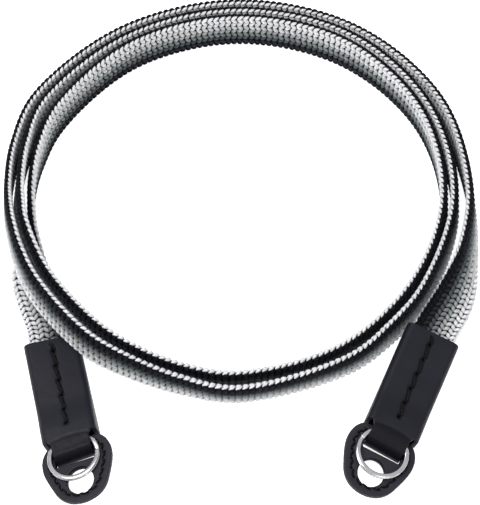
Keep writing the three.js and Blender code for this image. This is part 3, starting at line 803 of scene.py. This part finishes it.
# dents in the leather: the groove of the stitch line, the pull at each hole, and the joint of the two layers
GROOVE_HALF_WIDTH = 0.5
GROOVE_DEPTH = 0.14
PULL_RADIUS = 0.45
PULL_DEPTH = 0.22
JOINT_HALF_WIDTH = 0.18
JOINT_REACH = 0.3
JOINT_DEPTH = 0.16
# shade painted into the pad: how wide the dark in each stitch hole is, how dark the hole and slit walls are
# painted, and how far round the cut it reaches
HOLE_SHADE_RADIUS = 0.42
CUT_WALL_SHADE = 0.75
CUT_WALL_MARGIN = 0.2
# half outline from the sleeve to the round end, as shares of the pad's length and half width
PAD_OUTLINE = [
    (0, 0.66), (0.02, 0.76), (0.1, 0.9), (0.22, 0.99), (0.36, 1), (0.5, 0.94), (0.66, 0.83), (0.8, 0.71),
    (0.9, 0.55), (0.97, 0.32), (1, 0),
]
pad_leather = leather("pad leather", (0.0165, 0.0165, 0.0225), 0.55, 0.45)


def pad_outline():
    """The pad's smooth border, one full turn, as (along, across)."""
    side_points = np.array(PAD_OUTLINE) * (PAD_LENGTH, PAD_HALF_WIDTH) + (FIT, 0)
    whole = np.vstack([side_points, side_points[-2::-1] * (1, -1)])
    place = np.linspace(0, len(whole) - 1, 121)
    return np.stack([catmull_rom(whole[:, 0], place), catmull_rom(whole[:, 1], place)], -1)


def border_distance(points, outline):
    """Distance of points to a closed border, positive inside it and negative outside."""
    nearest = np.full(len(points), 1e9)
    inside = np.zeros(len(points), bool)
    for a, b in zip(outline, np.roll(outline, -1, 0)):
        step = b - a
        share = np.clip(((points - a) @ step) / max(step @ step, 1e-12), 0, 1)
        nearest = np.minimum(nearest, np.linalg.norm(points - a - share[:, None] * step, axis=1))
        crosses = (a[1] > points[:, 1]) != (b[1] > points[:, 1])
        with np.errstate(divide="ignore", invalid="ignore"):
            at = a[0] + (points[:, 1] - a[1]) * step[0] / step[1]
        inside ^= crosses & (points[:, 0] < at)
    return np.where(inside, nearest, -nearest)


def pad_stitch_line(shift):
    """Stitch holes round the pad, a fixed margin inside its border, with the inward direction at each."""
    outline = pad_outline()
    tangent = np.gradient(outline, axis=0)
    tangent /= np.linalg.norm(tangent, axis=1)[:, None]
    inward = np.stack([tangent[:, 1], -tangent[:, 0]], -1)
    line = outline + inward * PAD_STITCH_MARGIN
    keep = line[:, 0] > FIT + 1.4
    line, inward = line[keep], inward[keep]
    length = np.concatenate([[0], np.cumsum(np.linalg.norm(np.diff(line, axis=0), axis=1))])
    count = int(length[-1] / PAD_STITCH_PITCH)
    at = np.linspace(0, length[-1], count + 1)

    def spaced(values):
        return np.stack([np.interp(at, length, values[:, i]) for i in range(2)], -1)

    return spaced(line) + (0, shift), spaced(inward)


def make_pad(side):
    """One pad, cut to its outline, hole and slit, with its stitch line and its layers' joint pulled in."""
    end = ENDS[side]
    shift = -end["travel"] * PAD_SHIFT
    outline = pad_outline()
    curve = bpy.data.curves.new(f"{side}_pad_cut", "CURVE")
    curve.dimensions = "2D"
    curve.fill_mode = "BOTH"
    curve.extrude = (PAD_THICKNESS / 2 - PAD_RIM) * MM
    curve.bevel_depth = PAD_RIM * MM
    curve.bevel_resolution = 2
    curve.offset = -PAD_RIM * MM
    slit_start = TONGUE_REACH - LEATHER / 2 - 2 * FIT
    slit = np.array([(0, -SLIT_HALF_LENGTH), (SLIT_WIDTH, -SLIT_HALF_LENGTH),
                     (SLIT_WIDTH, SLIT_HALF_LENGTH), (0, SLIT_HALF_LENGTH)]) + (slit_start, -shift)
    hole_middle = FIT + PAD_LENGTH - HOLE_END_MARGIN - HOLE_LENGTH / 2
    around = np.linspace(0, 2 * math.pi, 48, endpoint=False)
    hole = np.stack([hole_middle + HOLE_LENGTH / 2 * np.cos(around), HOLE_WIDTH / 2 * np.sin(around)], -1)
    for loop in (outline, slit, hole):
        spline = curve.splines.new("POLY")
        spline.points.add(len(loop) - 1)
        corners = np.column_stack([loop * MM, np.zeros(len(loop)), np.ones(len(loop))])
        spline.points.foreach_set("co", corners.ravel())
        spline.use_cyclic_u = True
    cut = bpy.data.objects.new(f"{side}_pad_cut", curve)
    bpy.context.scene.collection.objects.link(cut)
    bpy.context.view_layer.update()
    solid = bpy.data.meshes.new_from_object(cut.evaluated_get(bpy.context.evaluated_depsgraph_get()))
    bpy.data.objects.remove(cut)
    blank = bpy.data.objects.new(f"{side}_pad_blank", solid)
    bpy.context.scene.collection.objects.link(blank)
    even = blank.modifiers.new("even", "REMESH")
    even.mode = "VOXEL"
    even.voxel_size = PAD_GRID * MM
    bpy.context.view_layer.update()
    meshed = bpy.data.meshes.new_from_object(blank.evaluated_get(bpy.context.evaluated_depsgraph_get()))
    bpy.data.objects.remove(blank)
    points = np.empty(len(meshed.vertices) * 3)
    meshed.vertices.foreach_get("co", points)
    points = points.reshape(-1, 3) / MM
    faces = np.empty(len(meshed.loops), np.int32)
    meshed.loops.foreach_get("vertex_index", faces)
    depth = border_distance(points[:, :2], outline)
    holes, _ = pad_stitch_line(0)
    near = np.min(np.linalg.norm(points[:, None, :2] - holes[None], axis=2), axis=1)
    rim_out = (depth < PAD_STITCH_MARGIN + 1) & (points[:, 0] > FIT + 0.9)
    groove = GROOVE_DEPTH * rim_out * np.exp(-((depth - PAD_STITCH_MARGIN) / GROOVE_HALF_WIDTH) ** 2)
    pull = PULL_DEPTH * np.exp(-(near / PULL_RADIUS) ** 2)
    on_face = np.abs(points[:, 2]) > PAD_THICKNESS * 0.3
    points[:, 2] -= np.sign(points[:, 2]) * (groove + pull) * on_face
    joint = JOINT_DEPTH * np.exp(-(points[:, 2] / JOINT_HALF_WIDTH) ** 2 - (depth / JOINT_REACH) ** 2)
    middle = np.array([FIT + PAD_LENGTH / 2, 0.0])
    toward = middle - points[:, :2]
    toward /= np.linalg.norm(toward, axis=1)[:, None]
    points[:, :2] += toward * joint[:, None]
    points[:, 1] += shift
    points[:, 2] += PAD_UNDERSIDE + PAD_THICKNESS / 2
    # painted shade: the walls of the hole and slit and each stitch hole are painted dark, as the shade in
    # them
    in_hole = border_distance(points[:, :2] - (0, shift), hole) > -CUT_WALL_MARGIN
    in_slit = border_distance(points[:, :2] - (0, shift), slit) > -CUT_WALL_MARGIN
    pit = np.maximum(np.exp(-(near / HOLE_SHADE_RADIUS) ** 4), CUT_WALL_SHADE * (in_hole | in_slit))
    return build_piece(f"{side}_pad", on_end(end, points), [faces.reshape(-1, 4)], pad_leather, "pad_leather",
                       pit=pit)


def pad_threads(side):
    """The pad's running stitches: short threads that dip into a hole at each end."""
    shift = -ENDS[side]["travel"] * PAD_SHIFT
    holes, inward = pad_stitch_line(shift)
    paths = []
    top = PAD_UNDERSIDE + PAD_THICKNESS
    for k in range(len(holes) - 1):
        t = np.linspace(0, 1, 9)[:, None]
        start = holes[k] + (holes[k + 1] - holes[k]) * 0.16 - inward[k] * 0.36
        stop = holes[k] + (holes[k + 1] - holes[k]) * 0.84 + inward[k + 1] * 0.36
        flat_path = start + (stop - start) * t
        lift = np.sin(math.pi * t) ** 0.6 * PAD_ARCH - PAD_SINK
        paths.append(np.hstack([flat_path, top + lift]))
    return thread_piece(f"{side}_pad_thread", paths, PAD_THREAD, lambda p: on_end(ENDS[side], p),
                        "pad_leather")


for side in ENDS:
    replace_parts(make_pad(side), f"{side}_guard_pad")
    pad_threads(side)


# The split rings: one flat steel wire wound twice and pressed together, so that each has a groove round its
# edge and a step where the wire crosses from one coil to the other. The tongue's fold holds each ring.
RING_BAND = 1.2
COIL_HEIGHT = 0.62
COIL_STEP = 0.72
WIRE_SQUARENESS = 0.75
# where round the ring the wire's ends lie, how far they stop short, how long their taper is, and how far the
# crossing reaches to each side, all in degrees
RING_SPLIT = {"left": 90, "right": 262}
WIRE_STOP = 2
WIRE_TAPER = 3
RING_CROSSING = 26
steel, tree, shader = new_material("polished steel")
scuffs = add_node(tree, "ShaderNodeTexNoise", Scale=400.0, Detail=3.0,
                  Vector=add_node(tree, "ShaderNodeTexCoord").outputs["Object"])
polish = add_node(tree, "ShaderNodeMapRange", Value=scuffs.outputs["Fac"], From_Min=0.35, From_Max=0.7,
                  To_Min=0.16, To_Max=0.22)
metal = add_node(tree, "ShaderNodeValToRGB", _0=scuffs.outputs["Fac"])
set_ramp(metal, [(0.3, (0.52, 0.52, 0.54)), (0.7, (0.64, 0.64, 0.66))])
tree.links.new(metal.outputs["Color"], shader.inputs["Base Color"])
tree.links.new(polish.outputs[0], shader.inputs["Roughness"])
shader.inputs["Metallic"].default_value = 1.0


def make_ring(side):
    """Two coils of flat wire as one swept band, with rounded corners and a short taper at each cut end."""
    steps, sides = 288, 16
    wound = np.linspace(WIRE_STOP, 720 - WIRE_STOP, steps)
    angle = np.radians(RING_SPLIT[side] + wound)
    crossing = smoothstep(wound, 360 - RING_CROSSING, 360 + RING_CROSSING) * 2 - 1
    middle = RING_RADIUS - RING_BAND / 2
    around = np.arange(sides) * 2 * math.pi / sides
    wire_x = np.sign(np.cos(around)) * np.abs(np.cos(around)) ** WIRE_SQUARENESS * (RING_BAND / 2)
    wire_z = np.sign(np.sin(around)) * np.abs(np.sin(around)) ** WIRE_SQUARENESS * (COIL_HEIGHT / 2)
    from_end = np.minimum(wound - WIRE_STOP, 720 - WIRE_STOP - wound)
    end_taper = 0.6 + 0.4 * np.clip(from_end / WIRE_TAPER, 0, 1) ** 0.5
    radius = middle + wire_x[None] * end_taper[:, None]
    height = crossing[:, None] * (COIL_STEP / 2) + wire_z[None] * end_taper[:, None]
    local = np.stack([radius * np.cos(angle)[:, None], radius * np.sin(angle)[:, None], height], -1)
    i, j = np.meshgrid(np.arange(steps - 1), np.arange(sides), indexing="ij")
    next_j = (j + 1) % sides
    faces = np.stack([i * sides + j, (i + 1) * sides + j, (i + 1) * sides + next_j, i * sides + next_j], -1)
    caps = [np.arange(sides)[None], (np.arange(sides)[::-1] + (steps - 1) * sides)[None]]
    placed = on_ring(ENDS[side], local.reshape(-1, 3))
    return build_piece(f"{side}_ring", placed, [faces.reshape(-1, 4), *caps], steel, "polished_steel")


for side in ENDS:
    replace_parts(make_ring(side), f"{side}_split_ring")


# The setting: a white studio table and soft light from all round, strongest from above and behind, as for a
# catalogue picture.
floor_material, tree, shader = new_material("white table")
speckle = add_node(tree, "ShaderNodeTexNoise", Scale=60.0, Detail=2.0,
                   Vector=add_node(tree, "ShaderNodeTexCoord").outputs["Object"])
paper = add_node(tree, "ShaderNodeValToRGB", _0=speckle.outputs["Fac"])
set_ramp(paper, [(0.3, (0.90, 0.90, 0.90)), (0.7, (0.92, 0.92, 0.92))])
tree.links.new(paper.outputs["Color"], shader.inputs["Base Color"])
tree.links.new(paper.outputs["Color"], shader.inputs["Emission Color"])
shader.inputs["Emission Strength"].default_value = 0.9
shader.inputs["Roughness"].default_value = 0.9
shader.inputs["Specular IOR Level"].default_value = 0.1
floor_mesh = bpy.data.meshes.new("table")
reach = 3.0
floor_mesh.from_pydata([(-reach, -reach, 0), (reach, -reach, 0), (reach, reach, 0), (-reach, reach, 0)], [],
                       [(0, 1, 2, 3)])
floor_mesh.materials.append(floor_material)
floor = bpy.data.objects.new("table", floor_mesh)
floor.location.z = -0.0001
bpy.context.scene.collection.objects.link(floor)

world = bpy.data.worlds.new("studio")
bpy.context.scene.world = world
world.use_nodes = True
tree = world.node_tree
backdrop = tree.nodes["Background"]
sky = add_node(tree, "ShaderNodeTexCoord")
height = add_node(tree, "ShaderNodeSeparateXYZ", _0=sky.outputs["Generated"])
glow = add_node(tree, "ShaderNodeValToRGB", _0=height.outputs["Z"])
set_ramp(glow, [
    (0.0, (0.16, 0.16, 0.17)), (0.25, (0.25, 0.25, 0.26)), (0.5, (0.95, 0.95, 0.96)), (1.0, (1.0, 1.0, 1.0)),
])
tree.links.new(glow.outputs["Color"], backdrop.inputs["Color"])
backdrop.inputs["Strength"].default_value = 0.75

for name, place, size, energy in (
    ("overhead softbox", (-0.4, -0.05, 1.0), 0.7, 10.0),
    ("front softbox", (0.45, -0.7, 0.75), 0.6, 2.5),
):
    light_data = bpy.data.lights.new(name, "AREA")
    light_data.shape = "SQUARE"
    light_data.size = size
    light_data.energy = energy
    light = bpy.data.objects.new(name, light_data)
    light.location = place
    light.rotation_euler = (-Vector(place)).to_track_quat("-Z", "Y").to_euler()
    bpy.context.scene.collection.objects.link(light)
